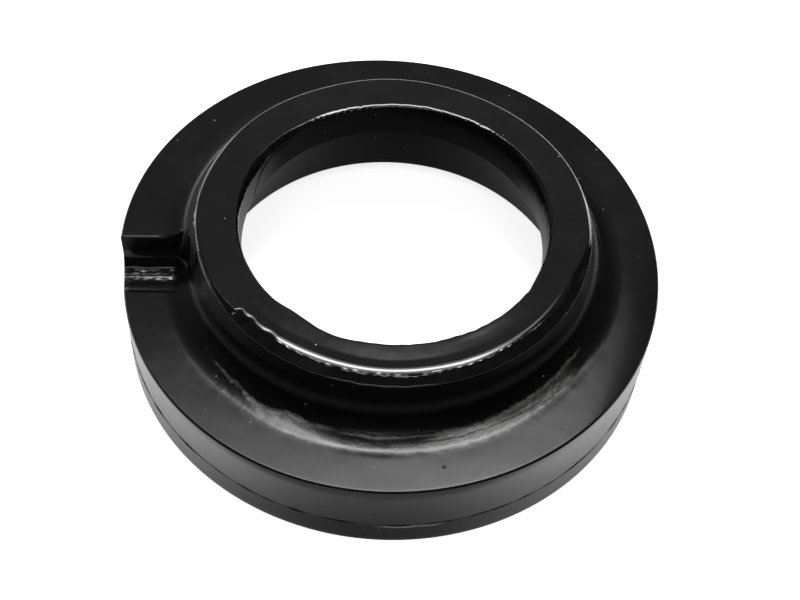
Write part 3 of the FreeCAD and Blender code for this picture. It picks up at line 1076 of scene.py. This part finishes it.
def skin_colour(tree, film, chalk_and_sheen, specks):
    """Black, turned to grey by powder and painted sheen, by specks of dust and a little by the film."""
    colour = tree.nodes.new("ShaderNodeMix")
    colour.data_type = "RGBA"
    colour.inputs[6].default_value = BLACK
    colour.inputs[7].default_value = POWDER_AND_SHEEN_GREY
    # Grey from film, dust specks, powder and the painted highlight in the trough.
    tinted = maths(tree, "ADD", times(tree, film, 0.05), times(tree, specks, 0.8))
    tinted = maths(tree, "MAXIMUM", tinted, maths(tree, "MINIMUM", chalk_and_sheen, 1.0))
    tree.links.new(tinted, colour.inputs[0])
    return colour.outputs[2]


def skin_normal(tree, place, layers):
    """Bump in millimetres: a slow sway, plus each layer's mask times its height."""
    height = times(tree, noise(tree, place, 150.0, 1.0, 0.4), 0.030)
    for mask, tall in layers:
        height = maths(tree, "ADD", height, times(tree, mask, tall))
    bump = add_node(tree, "ShaderNodeBump", Strength=1.0, Distance=0.001)
    tree.links.new(height, bump.inputs["Height"])
    return bump.outputs["Normal"]


def make_skin():
    """Node group from the gloss and the powder-and-sheen share to the colour, the roughness and the
    normal.
    """
    tree = bpy.data.node_groups.new("cast_skin", "ShaderNodeTree")
    tree.interface.new_socket("Gloss", in_out="INPUT", socket_type="NodeSocketFloat")
    tree.interface.new_socket("Chalk_and_sheen", in_out="INPUT", socket_type="NodeSocketFloat")
    tree.interface.new_socket("Colour", in_out="OUTPUT", socket_type="NodeSocketColor")
    tree.interface.new_socket("Roughness", in_out="OUTPUT", socket_type="NodeSocketFloat")
    tree.interface.new_socket("Normal", in_out="OUTPUT", socket_type="NodeSocketVector")
    entry = tree.nodes.new("NodeGroupInput")
    leave = tree.nodes.new("NodeGroupOutput")
    place = tree.nodes.new("ShaderNodeTexCoord").outputs["Object"]
    gloss = entry.outputs["Gloss"]

    grain = noise(tree, place, 2600.0, 2.0, 0.6)
    film = film_mask(tree, place, grain, gloss)
    # Share of powder, and out in the trough of painted highlight.
    chalk_and_sheen = chalk_and_sheen_mask(tree, place, entry.outputs["Chalk_and_sheen"])
    specks = dots(tree, place, 160.0, "Red", 0.10, 0.034, 0.056)
    pits = dots(tree, place, 120.0, "Green", 0.95, 0.03, 0.07)
    satin_share = maths(tree, "SUBTRACT", 1.0, maths(tree, "ABSOLUTE", gloss))
    satin_share = maths(tree, "MAXIMUM", 0.0, satin_share)
    layers = (times(tree, grain, satin_share), 0.002), (pits, -0.16), (specks, 0.03), (chalk_and_sheen, 0.02)

    tree.links.new(skin_colour(tree, film, chalk_and_sheen, specks), leave.inputs["Colour"])
    tree.links.new(skin_roughness(tree, gloss, film, chalk_and_sheen), leave.inputs["Roughness"])
    tree.links.new(skin_normal(tree, place, layers), leave.inputs["Normal"])
    return tree


skin = make_skin()
print("node group:", skin.name, "with", len(skin.nodes), "nodes")

# %% [markdown]
# ## The rubber itself
#
# The Principled shader, Layer Weight and the attributes stay in the material.
# Real dull rubber still mirrors the table at a low angle, more than the shader's
# own Fresnel gives at so low a specular level. So the level rises with Layer
# Weight's Facing, by up to 16 times.

# %% Material
def make_rubber(skin):
    """Black cast polyurethane, with its skin from the node group."""
    material = bpy.data.materials.new("black_polyurethane")
    material.use_nodes = True
    tree = material.node_tree
    shader = tree.nodes["Principled BSDF"]
    group = tree.nodes.new("ShaderNodeGroup")
    group.node_tree = skin
    gloss = add_node(tree, "ShaderNodeAttribute", attribute_name="gloss").outputs["Fac"]
    # Share of powder, and out in the trough of painted highlight, at each point.
    chalk_and_sheen = add_node(tree, "ShaderNodeAttribute", attribute_name="chalk_and_sheen").outputs["Fac"]
    tree.links.new(gloss, group.inputs["Gloss"])
    tree.links.new(chalk_and_sheen, group.inputs["Chalk_and_sheen"])
    tree.links.new(group.outputs["Colour"], shader.inputs["Base Color"])
    tree.links.new(group.outputs["Roughness"], shader.inputs["Roughness"])
    tree.links.new(group.outputs["Normal"], shader.inputs["Normal"])
    shader.inputs["IOR"].default_value = 1.52
    facing = add_node(tree, "ShaderNodeLayerWeight", Blend=0.5).outputs["Facing"]
    level = ramp(tree, gloss, -1.0, 1.0, 0.07, 0.5)
    dull = ramp(tree, gloss, -1.5, -1.0, 0.008, 1.0)
    level = times(tree, level, dull, ramp(tree, facing, 0.50, 0.80, 1.0, 16.0))
    tree.links.new(level, shader.inputs["Specular IOR Level"])
    return material


rubber = make_rubber(skin)
for piece in pieces:
    piece.data.materials.append(rubber)
print("material:", rubber.name, "on", [p.name for p in pieces])

# %% [markdown]
# ## Table
#
# The part lies on a white table that shows no edge. A lamp strong enough to
# white it out would wash out the black rubber too. So the table gives off the
# missing white by itself: most of it to the camera, less to the rays that the
# rubber mirrors, and none to the diffuse rays that light the part.

# %% Table
TABLE_REACH = 1.6
TABLE_TO_CAMERA = 0.85
TABLE_MIRRORED = 0.30


def make_table():
    """A white table top."""
    mesh = bpy.data.meshes.new("table")
    near, far = -TABLE_REACH, TABLE_REACH
    corners = [(near, near, 0.0), (far, near, 0.0), (far, far, 0.0), (near, far, 0.0)]
    mesh.from_pydata(corners, [], [(0, 1, 2, 3)])
    table = bpy.data.objects.new("table", mesh)
    bpy.context.scene.collection.objects.link(table)
    material = bpy.data.materials.new("table_white")
    material.use_nodes = True
    tree = material.node_tree
    shader = tree.nodes["Principled BSDF"]
    shader.inputs["Base Color"].default_value = (0.80, 0.80, 0.80, 1.0)
    shader.inputs["Roughness"].default_value = 0.7
    shader.inputs["Specular IOR Level"].default_value = 0.2
    seen = tree.nodes.new("ShaderNodeLightPath")
    mirrored = times(tree, seen.outputs["Is Glossy Ray"], TABLE_MIRRORED)
    direct = times(tree, seen.outputs["Is Camera Ray"], TABLE_TO_CAMERA)
    shader.inputs["Emission Color"].default_value = (1.0, 1.0, 1.0, 1.0)
    tree.links.new(maths(tree, "MAXIMUM", direct, mirrored), shader.inputs["Emission Strength"])
    mesh.materials.append(material)
    return table


table = make_table()
print(table.name, 2 * TABLE_REACH, "m across")

# %% [markdown]
# ## Lamps
#
# A glossy black thing is seen by what it mirrors, so the lamps are placed by
# their reflections. A surface that leans 10 degrees towards the viewer mirrors
# what stands 20 degrees higher. The long highlight on the crest is a bright
# lamp, a little behind the part and overhead, with a dimmer one round it that
# lights the front of the seat. A weaker one hangs on the viewer's side.

# %% Lamps
def add_lamp(name, elevation, sideways, distance, width, height, radiance):
    """A flat lamp that faces the part.

    The elevation is measured up from the far side of the table, +Y, so that 90
    is overhead and more is on the viewer's side. The power that gives a lamp
    of this area that radiance is radiance * area * pi.
    """
    lean = math.radians(elevation)
    side = math.radians(sideways)
    aim = Vector((math.sin(side), math.cos(side) * math.cos(lean), math.cos(side) * math.sin(lean)))
    data = bpy.data.lights.new(name, "AREA")
    data.shape = "RECTANGLE"
    data.size = width
    data.size_y = height
    data.energy = radiance * width * height * math.pi
    lamp = bpy.data.objects.new(name, data)
    lamp.location = aim * distance + Vector((0.0, 0.0, 0.03))
    lamp.rotation_mode = "QUATERNION"
    lamp.rotation_quaternion = aim.to_track_quat("Z", "Y")
    bpy.context.scene.collection.objects.link(lamp)
    print(name, "at", [round(v, 2) for v in lamp.location], "m,", round(data.energy, 2), "W")


add_lamp("main_core", 74.0, -1.0, 1.0, 0.54, 0.20, 20.0)
add_lamp("main_surround", 74.0, -1.0, 1.05, 0.70, 0.58, 3.4)
add_lamp("near_lamp", 120.0, 0.0, 1.0, 0.60, 0.23, 5.0)

# %% [markdown]
# ## Room
#
# The room is dim and only matters in reflections: lighter behind the part and
# low down, darker overhead and at the sides, most of all on the right. Walls
# could be built, but a world that depends on the direction needs no geometry. To
# the camera it is white, so that the table's far edge hardly shows.

# %% Room
def make_room():
    """A world whose strength is behind * low * left * right, and 1 to the camera."""
    world = bpy.data.worlds.new("room")
    bpy.context.scene.world = world
    world.use_nodes = True
    tree = world.node_tree
    split = tree.nodes.new("ShaderNodeSeparateXYZ")
    tree.links.new(tree.nodes.new("ShaderNodeTexCoord").outputs["Generated"], split.inputs[0])
    behind = ramp(tree, split.outputs["Y"], -0.25, 0.55, 0.04, 0.32)
    low = ramp(tree, split.outputs["Z"], 0.55, 0.95, 1.0, 0.4)
    left = ramp(tree, split.outputs["X"], -0.65, -0.30, 0.5, 1.0)
    right = ramp(tree, split.outputs["X"], 0.30, 0.65, 1.0, 0.12)
    seen = tree.nodes.new("ShaderNodeLightPath").outputs["Is Camera Ray"]
    strength = maths(tree, "MAXIMUM", times(tree, behind, low, left, right), seen)
    tree.links.new(strength, tree.nodes["Background"].inputs["Strength"])
    tree.nodes["Background"].inputs["Color"].default_value = (1.0, 1.0, 1.0, 1.0)
    return world


room = make_room()
print("world:", room.name, "with", len(room.node_tree.nodes), "nodes")

# %% [markdown]
# ## Camera
#
# The camera stands 397 mm from the origin and 53.7 degrees above the table. Its
# place, its lens and its turns were fitted to the outlines in the photograph, as
# the proportions of the solid were. First it looks at the origin, then it is
# turned by a small yaw, pitch and roll.

# %% Camera
CAMERA_PLACE = Vector((0.0, -0.23512, 0.32002))
CAMERA_TURNS = (0.477, 0.479, 3.551)


def turned_pair(a, b, angle):
    """Two axes turned in their own plane, a towards b."""
    return a * math.cos(angle) + b * math.sin(angle), b * math.cos(angle) - a * math.sin(angle)


def make_camera():
    """A camera from its place and its yaw, pitch and roll."""
    data = bpy.data.cameras.new("camera")
    data.sensor_width = 36.0
    data.lens = 60.01
    data.clip_start = 0.01
    data.clip_end = 20.0
    camera = bpy.data.objects.new("camera", data)
    yaw, pitch, roll = (math.radians(a) for a in CAMERA_TURNS)
    ahead = -CAMERA_PLACE.normalized()
    right = Vector((1.0, 0.0, 0.0))
    up = right.cross(ahead)
    ahead, right = turned_pair(ahead, right, yaw)
    ahead, up = turned_pair(ahead, up, pitch)
    right, up = turned_pair(right, up, roll)
    turned = Matrix((right, up, -ahead)).transposed().to_4x4()
    turned.translation = CAMERA_PLACE
    camera.matrix_world = turned
    bpy.context.scene.collection.objects.link(camera)
    bpy.context.scene.camera = camera
    return camera


camera = make_camera()
bpy.context.scene.view_settings.view_transform = "Standard"
print(camera.name, round(CAMERA_PLACE.length * 1000), "mm from the origin")
